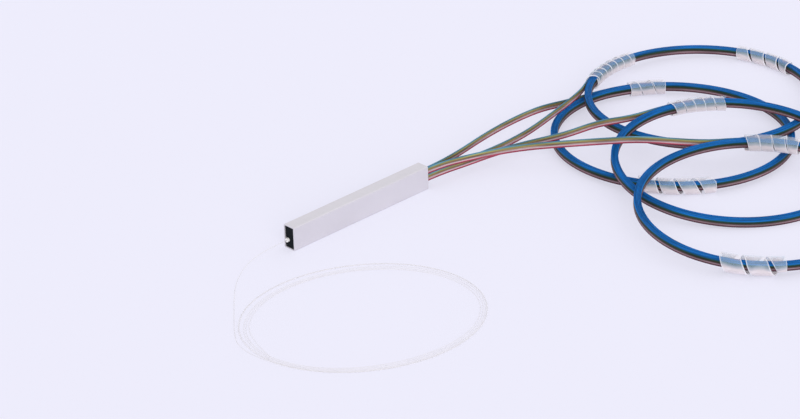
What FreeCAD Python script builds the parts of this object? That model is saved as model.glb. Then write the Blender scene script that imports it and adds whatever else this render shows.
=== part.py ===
import FreeCAD, Part
import math
import os
from FreeCAD import Placement, Rotation, Vector

# Bare-fibre planar splitter. A small rectangular metal tube stands on its narrow side and holds
# the glass chip between two fibre arrays. One coated fibre comes in at the -X end through a
# white sleeve. Four flat eight-fibre ribbons leave the +X end in a stack of two by two, and each
# is wound on edge into a coil that two spiral wraps hold. Millimetres, +Z up, the origin at the
# middle of the tube's underside, +X towards the ribbons.

# Housing tube
housing_length = 50.0
housing_width = 4.0
housing_height = 7.0
housing_wall = 0.3
housing_corner = 0.35

# End plugs
plug_recess = 0.3
plug_film = 0.02              # adhesive film between a plug and the tube
input_plug_length = 2.2
output_plug_length = 3.0
notch_length = 1.2            # how far the open notch runs into the input plug
slot_clearance = 0.03         # round the ribbons in the output plug

# Input sleeve and fibre
sleeve_diameter = 1.15
sleeve_bore = 0.4
sleeve_reach = 0.3            # outside the tube
sleeve_inner_reach = 1.0      # past the plug's inner face
sleeve_side = 0.75            # sideways place of its axis, towards the open notch
sleeve_height = 2.5
sleeve_clearance = 0.03
coated_fibre = 0.25
bare_fibre = 0.124
fibre_sides = 6               # of a fibre's outline

# Ribbons
fibres_per_ribbon = 8
ribbon_width = 2.1
ribbon_thickness = 0.32
ribbon_fibre_pitch = 0.25
ribbon_side_gap = 0.02        # between the two ribbons of a row
ribbon_row_gap = 0.04         # between the two rows

# Glass assembly
optics_height = housing_height / 2  # of the waveguides' middle line
polish_angle = 8.0            # of every joined face
joint_film = 0.05             # optical adhesive at each joint
spare_before = 0.43           # share of the tube's spare length before the glass
chip_length = 18.0
chip_height = 5.2
chip_thickness = 1.2
cover_thickness = 1.1
input_cover_length = 3.0
output_cover_length = 4.5
input_array_length = 7.0
input_array_height = 2.5
input_ledge_length = 2.5
output_array_length = 10.0
output_ledge_length = 5.0
groove_pitch = 0.127
groove_half_angle = 35.0
groove_land_offset = 0.025    # from the fibres' middle plane to the grooved face
glue_film = 0.002             # round each fibre in its groove
ribbon_grip = 1.6             # ribbon held on the output array's ledge
ledge_film = 0.01
bond_height = 0.4             # of the adhesive beads over the ledges
cut_overrun = 1.0             # how far a cutter passes the face that it starts from

# Coils of ribbon
turns_across = 7
turn_pitch = 0.33
crossing_gap = 0.3            # between a coil and the one that it lies over
floor_lift = 0.16             # under the middle of a tilted coil that touches the surface
join_gap = 0.02               # between a lead and the coil that it joins
straight_out = 6.0            # first straight run of each lead
fibre_straight_out = 4.1
approach = 10.0               # last straight run of each lead
bend_share = 0.45             # of the shorter run beside a corner, taken by its bend
measuring_points = 12         # on each run or bend of a route
coil_plans = {                # plan centre x, y, mean radius, how oval, direction of the long axis
    "coil_1": (92.1, -31.6, 32.6, 1.1, 111.5),
    "coil_2": (113.9, -22.9, 34.0, 1.6, 33.8),
    "coil_3": (87.2, -58.7, 31.3, 1.6, 139.0),
    "coil_4": (73.8, -80.5, 32.8, 0.9, 154.7),
}

# Spiral wraps: coil, first and last angle round it, outer radius, pitch, share of the pitch
# that is band
wrap_wall = 0.35
wrap_tip = 0.3                # width of the strip's square-cut ends
wraps = {
    "coil_1_wrap_a": ("coil_1", 64.8, 45.8, 2.1, 3.3, 0.93),
    "coil_1_wrap_b": ("coil_1", 243.0, 204.3, 2.25, 5.4, 0.8),
    "coil_2_wrap_a": ("coil_2", 117.5, 78.8, 2.1, 3.3, 0.93),
    "coil_2_wrap_b": ("coil_2", 24.0, -7.5, 2.1, 4.6, 0.84),
    "coil_3_wrap_a": ("coil_3", 77.0, 45.3, 2.05, 3.4, 0.93),
    "coil_3_wrap_b": ("coil_3", -16.0, -40.0, 2.05, 3.4, 0.93),
    "coil_4_wrap_a": ("coil_4", 49.0, 22.0, 2.3, 4.1, 0.84),
    "coil_4_wrap_b": ("coil_4", 232.5, 201.5, 2.55, 7.6, 0.74),
}
wrap_steps_per_turn = 12
floor_wrap_angle_2 = 23.0     # where coil 2's wrap stands on the surface
floor_angle_3 = 243.0         # where coil 3 itself does
floor_wrap_angle_4 = 231.0    # where coil 4's wrap does

# Loose loop of the input fibre: centre x, y and half-axes of its outer and inner outline
loop_outer = (-37.3, -41.6, 33.3, 28.1)
loop_inner = (-37.9, -43.1, 32.6, 26.1)
loop_turn = -22.2             # direction of both long axes
loop_height = 0.5
loop_join_angle = 174.0

# Worked-out places
half_length = housing_length / 2
bore_half_width = housing_width / 2 - housing_wall
bore_bottom = housing_wall
bore_top = housing_height - housing_wall
ribbon_side = (ribbon_thickness + ribbon_side_gap) / 2
row_offset = (ribbon_width + ribbon_row_gap) / 2
coil_width = turns_across * turn_pitch
coil_height = ribbon_width
input_plug_end = -half_length + plug_recess + input_plug_length
output_plug_start = half_length - plug_recess - output_plug_length
sleeve_end = input_plug_end + sleeve_inner_reach
glass_length = input_array_length + chip_length + output_array_length + 2 * joint_film
array_start = sleeve_end + spare_before * (output_plug_start - sleeve_end - glass_length)
array_end = array_start + input_array_length
chip_start = array_end + joint_film
chip_end = chip_start + chip_length
out_start = chip_end + joint_film
out_end = out_start + output_array_length
ledge_end = array_start + input_ledge_length
out_ledge = out_end - output_ledge_length
slope = math.tan(math.radians(polish_angle))

# Ribbon leads: coil, row and side of the stack in the tube, free points, angle where the lead
# touches its coil, and how far its last corner rides above that touching point
leads = {
    "ribbon_1": ("coil_1", "upper", "back",
                 [(41.0, 0.8, 4.57), (52.0, 3.1, 4.4), (63.0, 5.0, 3.75), (74.0, 7.0, 3.7)],
                 82.0, 0.4),
    "ribbon_2": ("coil_2", "lower", "back",
                 [(41.0, -0.5, 2.43), (51.0, -2.1, 2.8), (62.0, -3.0, 3.75), (74.5, -0.8, 4.15)],
                 120.0, 1.6),
    "ribbon_3": ("coil_3", "lower", "front",
                 [(41.0, -1.8, 2.43), (49.5, -4.4, 3.4), (58.0, -9.3, 4.7), (67.0, -14.1, 5.5),
                  (75.0, -19.1, 8.0)],
                 82.0, 0.1),
    "ribbon_4": ("coil_4", "upper", "front",
                 [(40.0, -2.9, 4.6), (48.0, -6.3, 4.7), (55.5, -10.7, 4.9), (62.0, -19.1, 6.3),
                  (67.0, -32.3, 9.9), (74.0, -37.6, 9.6)],
                 52.0, 0.2),
}

# Input fibre from the sleeve's mouth to its loop
fibre_points = [(-33.6, 1.3, 1.9), (-38.6, 1.2, 0.9), (-43.8, -1.1, 0.3), (-49.2, -5.2, 0.15),
                (-54.6, -10.9, 0.15), (-60.2, -17.2, 0.15), (-65.8, -23.6, 0.15), (-70.0, -29.6, 0.15)]


def box(x0, x1, y0, y1, z0, z1):
    """A block between two corners."""
    return Part.makeBox(x1 - x0, y1 - y0, z1 - z0, Vector(x0, y0, z0))


def rod(radius, x0, x1, y, z):
    """A round bar along X."""
    return Part.makeCylinder(radius, x1 - x0, Vector(x0, y, z), Vector(1, 0, 0))


def rounded_bar(half_width, z0, z1, radius, x0, x1):
    """A rectangular bar along X with round long edges."""
    block = box(x0, x1, -half_width, half_width, z0, z1)
    edges = [e for e in block.Edges if abs(e.tangentAt(e.FirstParameter).x) > 0.99]
    return block.makeFillet(radius, edges)


def slanted_block(x0, x1, y0, y1, half_height, slant0=True, slant1=True):
    """A block whose end faces may lean by the polish angle, as seen along Z."""
    def end(x, y, slanted):
        return Vector(x + (y * slope if slanted else 0.0), y, optics_height - half_height)

    corners = [end(x0, y0, slant0), end(x1, y0, slant1), end(x1, y1, slant1), end(x0, y1, slant0)]
    face = Part.Face(Part.makePolygon(corners + corners[:1]))
    return face.extrude(Vector(0, 0, 2 * half_height))


def smooth_route(points):
    """Straight runs joined by tangent arcs, each as large as its two runs allow."""
    points = [Vector(*p) for p in points]
    edges = []
    start = points[0]
    radii = []
    for before, corner, after in zip(points, points[1:], points[2:]):
        ahead = (corner - before).normalize()
        away = (after - corner).normalize()
        half_turn = ahead.getAngle(away) / 2
        reach = bend_share * min((corner - before).Length, (after - corner).Length)
        radius = reach / math.tan(half_turn)
        inward = (away - ahead).normalize()
        first = corner - ahead * reach
        last = corner + away * reach
        middle = corner + inward * (radius / math.cos(half_turn) - radius)
        edges.append(Part.makeLine(start, first))
        edges.append(Part.Arc(first, middle, last).toShape())
        radii.append(radius)
        start = last
    edges.append(Part.makeLine(start, points[-1]))
    return Part.Wire(edges), radii


def ribbon_sweep(points, name):
    """A flat ribbon carried on edge along a route, its width upright all the way."""
    route, radii = smooth_route(points)
    ahead = Vector(*points[1]) - Vector(*points[0])
    across = Vector(-ahead.y, ahead.x, 0).normalize() * (ribbon_thickness / 2)
    rise = Vector(0, 0, ribbon_width / 2)
    start = Vector(*points[0])
    corners = [start - across - rise, start + across - rise, start + across + rise, start - across + rise]
    sweep = Part.BRepOffsetAPI.MakePipeShell(route)
    sweep.setBiNormalMode(Vector(0, 0, 1))
    sweep.add(Part.makePolygon(corners + corners[:1]))
    sweep.build()
    sweep.makeSolid()
    solid = Part.Solid(sweep.shape())
    plan = sum(math.hypot(b.X - a.X, b.Y - a.Y)
               for e in route.Edges
               for a, b in zip(e_points(e)[:-1], e_points(e)[1:]))
    report(name, route, radii, solid, plan * ribbon_width * ribbon_thickness)
    return solid


def e_points(edge):
    """Vertices along an edge, close enough to measure its plan length."""
    return [Part.Vertex(p) for p in edge.discretize(measuring_points)]


def fibre_sweep(points, name):
    """A round coated fibre along a route."""
    route, radii = smooth_route(points)
    ahead = Vector(*points[1]) - Vector(*points[0])
    outline = fibre_outline(0, 0, 0, coated_fibre / 2)
    area = Part.Face(outline).Area
    outline.Placement = Placement(Vector(*points[0]), Rotation(Vector(1, 0, 0), ahead))
    solid = route.makePipeShell([outline], True, False)
    report(name, route, radii, solid, route.Length * area)
    return solid


def report(name, route, radii, solid, expected):
    """Say how long a cord's run is, how tight it bends and whether its volume is right."""
    print(f"{name}: length {route.Length:.1f}, radii {[round(r, 1) for r in radii]}, "
          f"volume {solid.Volume:.4f} of {expected:.4f}")


def oval_reach(longer, shorter, long_axis, angle):
    """Distance from an oval's centre to its outline, at an angle."""
    turn = math.radians(angle - long_axis)
    return longer * shorter / math.hypot(shorter * math.cos(turn), longer * math.sin(turn))


class Coil:
    """Turns of ribbon lying in one plane: a slightly oval outline and the plane's heights."""

    def __init__(self, name):
        self.x, self.y, self.radius, self.oval, self.long_axis = coil_plans[name]
        self.middle = max(radius for owner, _, _, radius, _, _ in wraps.values() if owner == name)
        self.rise_x = 0.0
        self.rise_y = 0.0

    def reach(self, angle, outward=0.0):
        """Distance from the centre to the oval, at an angle round the coil."""
        return oval_reach(self.radius + self.oval + outward, self.radius - self.oval + outward,
                          self.long_axis, angle)

    def plan_point(self, angle, outward=0.0):
        """Where an angle round the coil lies in plan."""
        turn = math.radians(angle)
        reach = self.reach(angle, outward)
        return self.x + reach * math.cos(turn), self.y + reach * math.sin(turn)

    def height(self, x, y):
        """Height of the coil's middle plane."""
        return self.middle + self.rise_x * (x - self.x) + self.rise_y * (y - self.y)

    def crossings(self, other):
        """The plan points where this coil passes over another, found degree by degree."""
        def outside(angle):
            x, y = self.plan_point(angle)
            direction = math.degrees(math.atan2(y - other.y, x - other.x))
            return math.hypot(x - other.x, y - other.y) - other.reach(direction)

        found = []
        for angle in range(360):
            here, there = outside(angle), outside(angle + 1)
            if here * there < 0:
                found.append(self.plan_point(angle + here / (here - there)))
        return found

    def lie_over(self, lower, floor_angle, floor_height):
        """Rest on two crossings of a lower coil and on one place on the surface."""
        supports = [(x, y, lower.height(x, y) + coil_height + crossing_gap)
                    for x, y in self.crossings(lower)]
        supports.append((*self.plan_point(floor_angle), floor_height))
        a, b, c = (Vector(*p) for p in supports)
        normal = (b - a).cross(c - a)
        self.rise_x = -normal.x / normal.z
        self.rise_y = -normal.y / normal.z
        self.middle = a.z + self.rise_x * (self.x - a.x) + self.rise_y * (self.y - a.y)

    def placement(self):
        """The coil's own frame: its axis upright on its plane."""
        upright = Vector(-self.rise_x, -self.rise_y, 1)
        return Placement(Vector(self.x, self.y, self.middle), Rotation(Vector(0, 0, 1), upright))

    def outline(self, outward):
        """A flat oval face, a distance outside the coil's middle line."""
        oval = Part.Ellipse(Vector(0, 0, 0), self.radius + self.oval + outward,
                            self.radius - self.oval + outward)
        face = Part.Face(Part.Wire(oval.toShape()))
        face.Placement = Placement(Vector(0, 0, -coil_height / 2), Rotation(Vector(0, 0, 1), self.long_axis))
        return face

    def solid(self):
        """The outer shape of the turns: an oval ring of rectangular section."""
        band = self.outline(coil_width / 2).cut(self.outline(-coil_width / 2))
        ring = band.extrude(Vector(0, 0, coil_height))
        ring.Placement = self.placement().multiply(ring.Placement)
        return ring

    def wrap(self, first_angle, last_angle, radius, pitch, share):
        """A spiral strip wound round the coil, its two ends cut square across the coil."""
        length = math.radians(abs(last_angle - first_angle)) * self.radius
        band = pitch * share
        first_turn = (wrap_tip - band) / pitch
        last_turn = (length - wrap_tip) / pitch
        steps = round((last_turn - first_turn) * wrap_steps_per_turn)

        def corner(distance, spin, travel):
            angle = first_angle + (last_angle - first_angle) * travel / length
            along = math.radians(angle)
            reach = self.reach(angle) + distance * math.cos(spin)
            return Vector(reach * math.cos(along), reach * math.sin(along), distance * math.sin(spin))

        sections = []
        for i in range(steps + 1):
            turn = first_turn + (last_turn - first_turn) * i / steps
            spin = 2 * math.pi * turn
            near = min(max(pitch * turn, 0.0), length - wrap_tip)
            far = min(max(pitch * turn + band, wrap_tip), length)
            sections.append([corner(radius - wrap_wall, spin, near), corner(radius, spin, near),
                             corner(radius, spin, far), corner(radius - wrap_wall, spin, far)])
        strip = skinned(sections)
        strip.Placement = self.placement()
        return strip


def skinned(sections):
    """A solid with flat three-sided faces through four-cornered sections."""
    outlines = []
    for a, b, c, d in (sections[0], sections[-1][::-1]):
        outlines += [[a, b, c], [a, c, d]]
    for before, after in zip(sections, sections[1:]):
        for k in range(len(before)):
            near, far = before[k - 1], before[k]
            outlines += [[far, near, after[k - 1]], [far, after[k - 1], after[k]]]
    shell = Part.Shell([Part.Face(Part.makePolygon(corners + corners[:1])) for corners in outlines])
    solid = Part.Solid(shell)
    if solid.Volume < 0:
        solid.reverse()
    return solid


def make_coils():
    """The four coils, each resting on the one below it where they cross."""
    coils = {name: Coil(name) for name in coil_plans}
    coils["coil_2"].lie_over(coils["coil_1"], floor_wrap_angle_2, coils["coil_2"].middle)
    coils["coil_3"].lie_over(coils["coil_2"], floor_angle_3, coil_height / 2 + floor_lift)
    coils["coil_4"].lie_over(coils["coil_3"], floor_wrap_angle_4, coils["coil_4"].middle)
    return coils


def stack_place(row, side):
    """A ribbon's place in the stack of two by two: +1 or -1 sideways, +1 or -1 upwards."""
    return (1 if side == "back" else -1), (1 if row == "upper" else -1)


def housing_parts():
    """The metal tube, the two black plugs and the white sleeve."""
    tube = rounded_bar(housing_width / 2, 0, housing_height, housing_corner, -half_length, half_length)
    bore = box(-half_length, half_length, -bore_half_width, bore_half_width, bore_bottom, bore_top)
    plug_half = bore_half_width - plug_film
    plug_bottom, plug_top = bore_bottom + plug_film, bore_top - plug_film

    front = -half_length + plug_recess
    input_plug = box(front, input_plug_end, -plug_half, plug_half, plug_bottom, plug_top)
    hole = sleeve_diameter / 2 + sleeve_clearance
    input_plug = input_plug.cut(rod(hole, front, input_plug_end, sleeve_side, sleeve_height))
    input_plug = input_plug.cut(box(front, front + notch_length, sleeve_side, bore_half_width,
                                    sleeve_height - hole, sleeve_height + hole))

    back = half_length - plug_recess
    slot_half_width = ribbon_side + ribbon_thickness / 2 + slot_clearance
    slot_half_height = row_offset + ribbon_width / 2 + slot_clearance
    output_plug = box(output_plug_start, back, -plug_half, plug_half, plug_bottom, plug_top)
    output_plug = output_plug.cut(box(output_plug_start, back, -slot_half_width, slot_half_width,
                                      optics_height - slot_half_height, optics_height + slot_half_height))

    outer_end = -half_length - sleeve_reach
    sleeve = rod(sleeve_diameter / 2, outer_end, sleeve_end, sleeve_side, sleeve_height)
    sleeve = sleeve.cut(rod(sleeve_bore / 2, outer_end, sleeve_end, sleeve_side, sleeve_height))
    return {"housing_tube": tube.cut(bore), "input_plug": input_plug, "output_plug": output_plug,
            "input_sleeve": sleeve}


def groove_cutter(x0, x1, count):
    """The V grooves of a fibre array, as a list of prisms."""
    radius = bare_fibre / 2 + glue_film
    depth = radius / math.sin(math.radians(groove_half_angle))
    half_mouth = depth * math.tan(math.radians(groove_half_angle))
    prisms = []
    for i in range(count):
        z = optics_height + (i - (count - 1) / 2) * groove_pitch
        corners = [Vector(x0, 0, z - half_mouth), Vector(x0, depth, z), Vector(x0, 0, z + half_mouth)]
        face = Part.Face(Part.makePolygon(corners + corners[:1]))
        prisms.append(face.extrude(Vector(x1 - x0, 0, 0)))
    return prisms


def optics_parts():
    """The chip with its cover plates, the two fibre arrays, their joints and the soft bed."""
    film = joint_film
    fibre_plane = bare_fibre / 2 + glue_film
    parts = {}
    parts["splitter_chip"] = slanted_block(chip_start, chip_end, 0, chip_thickness, chip_height / 2)
    parts["chip_input_cover"] = slanted_block(chip_start, chip_start + input_cover_length,
                                              -cover_thickness, 0, chip_height / 2, True, False)
    parts["chip_output_cover"] = slanted_block(chip_end - output_cover_length, chip_end,
                                               -cover_thickness, 0, chip_height / 2, False, True)
    parts["input_joint"] = slanted_block(chip_start - film, chip_start, -cover_thickness,
                                         chip_thickness, input_array_height / 2)
    parts["output_joint"] = slanted_block(chip_end, chip_end + film, -cover_thickness,
                                          chip_thickness, chip_height / 2)

    half = input_array_height / 2
    block = slanted_block(array_start, array_end, groove_land_offset, chip_thickness, half, False, True)
    for prism in groove_cutter(array_start, array_end + cut_overrun, 1):
        block = block.cut(prism)
    ledge = coated_fibre / 2 + ledge_film
    block = block.cut(box(array_start, ledge_end, -cut_overrun, ledge, optics_height - half, optics_height + half))
    parts["input_array_block"] = block
    parts["input_array_lid"] = slanted_block(ledge_end, array_end, -cover_thickness, -fibre_plane,
                                             half, False, True)
    bead = box(array_start, ledge_end, -bond_height, ledge, optics_height - half / 2,
               optics_height + half / 2)
    coat = rod(coated_fibre / 2 + glue_film, array_start, ledge_end, 0, optics_height)
    parts["input_fibre_bond"] = bead.cut(coat)

    half = chip_height / 2
    block = slanted_block(out_start, out_end, groove_land_offset, chip_thickness, half, True, False)
    comb = Part.makeCompound(groove_cutter(out_start - cut_overrun, out_ledge, len(leads) * fibres_per_ribbon))
    block = block.cut(comb)
    ledge = ribbon_side + ribbon_thickness / 2 + ledge_film
    block = block.cut(box(out_ledge, out_end, -cut_overrun, ledge, optics_height - half, optics_height + half))
    parts["output_array_block"] = block
    parts["output_array_lid"] = slanted_block(out_start, out_ledge, -cover_thickness, -fibre_plane,
                                              half, True, False)
    ribbon_face = ribbon_side + ribbon_thickness / 2 + glue_film
    parts["ribbon_bond"] = box(out_end - ribbon_grip, out_end, -ribbon_face - bond_height, -ribbon_face,
                               optics_height - half, optics_height + half)

    parts["silicone_bed"] = box(array_start, out_end, chip_thickness, bore_half_width,
                                optics_height - half, optics_height + half)
    return parts


def fibre_outline(x, y, z, radius):
    """A closed many-sided outline across X, for a fibre as thin as a hair."""
    corners = []
    for i in range(fibre_sides):
        turn = 2 * math.pi * (i + 0.5) / fibre_sides
        corners.append(Vector(x, y + radius * math.cos(turn), z + radius * math.sin(turn)))
    return Part.makePolygon(corners + corners[:1])


def inner_fibres():
    """The input fibre inside the tube, the fan of bare fibres and the ribbons' inner ends."""
    mouth = -half_length - sleeve_reach
    coat, glass = coated_fibre / 2, bare_fibre / 2
    tail = Part.makeLoft([fibre_outline(mouth, sleeve_side, sleeve_height, coat),
                          fibre_outline(sleeve_end, sleeve_side, sleeve_height, coat),
                          fibre_outline(array_start, 0, optics_height, coat),
                          fibre_outline(ledge_end, 0, optics_height, coat)], True, True)
    glass_end = Part.makeLoft([fibre_outline(ledge_end, 0, optics_height, glass),
                               fibre_outline(array_end - glass * slope, 0, optics_height, glass)],
                              True, True)
    parts = {"input_fibre_tail": tail.fuse(glass_end)}

    ribbon_start = out_end - ribbon_grip
    fan = []
    for row in (1, -1):
        for side in (1, -1):
            for k in range(fibres_per_ribbon):
                offset = k - (fibres_per_ribbon - 1) / 2
                groove = row * fibres_per_ribbon + 2 * offset + side * 0.5
                z_groove = optics_height + groove * groove_pitch
                z_ribbon = optics_height + row * row_offset + offset * ribbon_fibre_pitch
                fan.append(Part.makeLoft([fibre_outline(out_start + glass * slope, 0, z_groove, glass),
                                          fibre_outline(out_ledge, 0, z_groove, glass),
                                          fibre_outline(ribbon_start, side * ribbon_side, z_ribbon, glass)],
                                         True, True))
    parts["fibre_fan"] = Part.makeCompound(fan)

    for name, (_, row, side, _, _, _) in leads.items():
        sideways, upwards = stack_place(row, side)
        y, z = sideways * ribbon_side, optics_height + upwards * row_offset
        parts[f"{name}_inner_end"] = box(ribbon_start, half_length,
                                         y - ribbon_thickness / 2, y + ribbon_thickness / 2,
                                         z - ribbon_width / 2, z + ribbon_width / 2)
    return parts


def ribbon_parts(coils):
    """Each ribbon's lead from the tube to its coil, and the coil itself."""
    parts = {}
    outward = coil_width / 2 + join_gap + ribbon_thickness / 2
    for name, (coil_name, row, side, free, angle, lift) in leads.items():
        coil = coils[coil_name]
        touch = Vector(*coil.plan_point(angle, outward), 0)
        ahead = (touch - Vector(*coil.plan_point(angle + 1, outward), 0)).normalize()
        last = touch + Vector(0, 0, coil.height(touch.x, touch.y))
        before = last - ahead * approach + Vector(0, 0, lift)
        sideways, upwards = stack_place(row, side)
        start = Vector(half_length, sideways * ribbon_side, optics_height + upwards * row_offset)
        beyond = start + Vector(straight_out, 0, 0)
        points = [start, beyond] + [Vector(*p) for p in free] + [before, last]
        parts[f"{name}_lead"] = ribbon_sweep(points, f"{name}_lead")
        parts[f"{name}_coil"] = coil.solid()
    return parts


def input_fibre_parts():
    """The coated fibre from the sleeve to its loose loop, and the loop's outer shape."""
    start = (-half_length - sleeve_reach, sleeve_side, sleeve_height)
    beyond = (start[0] - fibre_straight_out, start[1], start[2])
    x, y, half_x, half_y = loop_outer
    gap = coated_fibre / 2 + join_gap
    reach = oval_reach(half_x + gap, half_y + gap, loop_turn, loop_join_angle)
    turn = math.radians(loop_join_angle)
    join = (x + reach * math.cos(turn), y + reach * math.sin(turn), fibre_points[-1][2])
    lead = fibre_sweep([start, beyond] + fibre_points + [join], "input_fibre_lead")

    def outline(x, y, half_x, half_y):
        face = Part.Face(Part.Wire(Part.Ellipse(Vector(0, 0, 0), half_x, half_y).toShape()))
        face.Placement = Placement(Vector(x, y, 0), Rotation(Vector(0, 0, 1), loop_turn))
        return face

    ring = outline(*loop_outer).cut(outline(*loop_inner)).extrude(Vector(0, 0, loop_height))
    return {"input_fibre_lead": lead, "input_fibre_loop": ring}


def main():
    """Build every piece and write one file for each."""
    coils = make_coils()
    parts = housing_parts()
    parts.update(optics_parts())
    parts.update(inner_fibres())
    parts.update(input_fibre_parts())
    parts.update(ribbon_parts(coils))
    for name, (coil_name, *measures) in wraps.items():
        parts[name] = coils[coil_name].wrap(*measures)
    os.makedirs("parts", exist_ok=True)
    for name, shape in parts.items():
        print(f"{name}: {len(shape.Solids)} solid(s), valid {shape.isValid()}, volume {shape.Volume:.4f}")
        shape.exportStep(f"parts/{name}.step")
    print(f"{len(parts)} nodes")


main()
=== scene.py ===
import logging
import math
from abc import ABC, abstractmethod
from dataclasses import dataclass, field
from enum import Enum

import bpy
import numpy as np
from mathutils import Matrix, Vector


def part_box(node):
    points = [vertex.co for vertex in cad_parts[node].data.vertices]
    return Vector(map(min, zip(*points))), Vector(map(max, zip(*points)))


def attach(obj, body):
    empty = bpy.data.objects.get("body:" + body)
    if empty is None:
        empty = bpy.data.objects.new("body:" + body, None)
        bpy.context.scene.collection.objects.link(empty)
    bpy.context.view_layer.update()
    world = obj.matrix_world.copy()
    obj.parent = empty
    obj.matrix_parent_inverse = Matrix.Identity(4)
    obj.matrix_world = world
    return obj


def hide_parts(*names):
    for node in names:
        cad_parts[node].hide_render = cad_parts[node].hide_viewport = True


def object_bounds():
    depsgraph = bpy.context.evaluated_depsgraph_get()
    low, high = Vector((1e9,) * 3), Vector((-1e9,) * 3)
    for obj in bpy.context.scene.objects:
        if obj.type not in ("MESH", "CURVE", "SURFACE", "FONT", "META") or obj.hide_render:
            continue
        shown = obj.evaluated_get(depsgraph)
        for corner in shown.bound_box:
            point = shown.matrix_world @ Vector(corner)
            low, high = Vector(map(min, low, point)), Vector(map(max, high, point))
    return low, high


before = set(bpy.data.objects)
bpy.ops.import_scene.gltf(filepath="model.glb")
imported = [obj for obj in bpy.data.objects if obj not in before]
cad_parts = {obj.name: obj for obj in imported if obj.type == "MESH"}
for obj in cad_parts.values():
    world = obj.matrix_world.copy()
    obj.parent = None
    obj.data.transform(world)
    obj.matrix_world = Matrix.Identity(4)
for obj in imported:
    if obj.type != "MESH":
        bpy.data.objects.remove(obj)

# Looks of a bare-fibre planar splitter: a small metal tube, the fine input fibre in its loose loop,
# and four flat ribbons of eight coloured fibres, each wound on edge and held by spiral wraps.
# Metres throughout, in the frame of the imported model. Angles in fields are in degrees, and those
# round a coil or a loop are seen from above.

CAD_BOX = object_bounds()
BODY = "root"
SURFACE = "surface"           # name of the strips' own coordinates
# The wound share also blends the fibres' painted lit colours into their painted shaded ones.
WOUND_SHADE = "wound"               # 0 on a ribbon's free lead and 1 in its turns
log = logging.getLogger("splitter")
Plan = tuple[float, float]
Point = tuple[float, float, float]
Colour = tuple[float, float, float]
Socket = bpy.types.NodeSocket
Source = Socket | float | tuple[float, ...]


class Winding(Enum):
    """Which way a cord goes round its coil, seen from above."""

    CLOCKWISE = -1
    COUNTERCLOCKWISE = 1


class Row(Enum):
    """The two rows in which the ribbons leave the tube."""

    UPPER = "upper"
    LOWER = "lower"


# ---------------------------------------------------------------- meshes and lines


def smoothstep(value: np.ndarray) -> np.ndarray:
    """Ease from 0 to 1: three times the square less twice the cube of the clipped value."""
    t = np.clip(value, 0.0, 1.0)
    return t * t * (3.0 - 2.0 * t)


def unit(vectors: np.ndarray) -> np.ndarray:
    """Scale each row to length one."""
    return vectors / np.linalg.norm(vectors, axis=-1, keepdims=True)


def coordinates(mesh: bpy.types.Mesh) -> np.ndarray:
    """Read a mesh's vertices.

    Args:
        mesh: the mesh.

    Returns:
        Its vertices, one row each, in metres.
    """
    flat = np.empty(len(mesh.vertices) * 3)
    mesh.vertices.foreach_get("co", flat)
    return flat.reshape(-1, 3)


def place_in_scene(name: str, data: bpy.types.ID) -> bpy.types.Object:
    """Make an object of its data, at the origin.

    Args:
        name: the object's name.
        data: its mesh, curve, lamp or camera.

    Returns:
        The object, linked into the scene.
    """
    item = bpy.data.objects.new(name, data)
    bpy.context.scene.collection.objects.link(item)
    return item


def smooth_curve(name: str, control: np.ndarray, samples: int) -> bpy.types.Curve:
    """Make a curve of one quadratic spline that starts and ends on its first and last points.

    Args:
        name: the curve's name.
        control: control points, one row each.
        samples: points that each stretch of the spline is drawn with.

    Returns:
        The curve, still without thickness.
    """
    curve = bpy.data.curves.new(name, "CURVE")
    curve.dimensions = "3D"
    spline = curve.splines.new("NURBS")
    spline.points.add(len(control) - 1)
    spline.points.foreach_set("co", np.column_stack([control, np.ones(len(control))]).ravel())
    spline.order_u = 3
    spline.use_endpoint_u = True
    spline.resolution_u = samples
    return curve


def smooth_line(control: np.ndarray, samples: int) -> np.ndarray:
    """Follow a smooth line through its control points.

    Args:
        control: control points of a quadratic spline.
        samples: points read from each of its stretches.

    Returns:
        The points along the spline, in order.
    """
    curve = smooth_curve("line", control, samples)
    carrier = bpy.data.objects.new("line", curve)
    mesh = bpy.data.meshes.new_from_object(carrier)
    line = coordinates(mesh)
    bpy.data.objects.remove(carrier)
    bpy.data.meshes.remove(mesh)
    bpy.data.curves.remove(curve)
    return line


def oval_reach(longer: float, shorter: float, long_axis: float, angle: np.ndarray) -> np.ndarray:
    """Measure from an oval's centre to its outline.

    The product of the half-axes over the root of the sum of two squares: the shorter times the
    cosine and the longer times the sine of the angle from the long axis.

    Args:
        longer: the long half-axis.
        shorter: the short half-axis.
        long_axis: direction of the long axis, in degrees.
        angle: directions to measure in, in radians.

    Returns:
        The distance in each direction.
    """
    turn = angle - math.radians(long_axis)
    return longer * shorter / np.hypot(shorter * np.cos(turn), longer * np.sin(turn))


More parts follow.
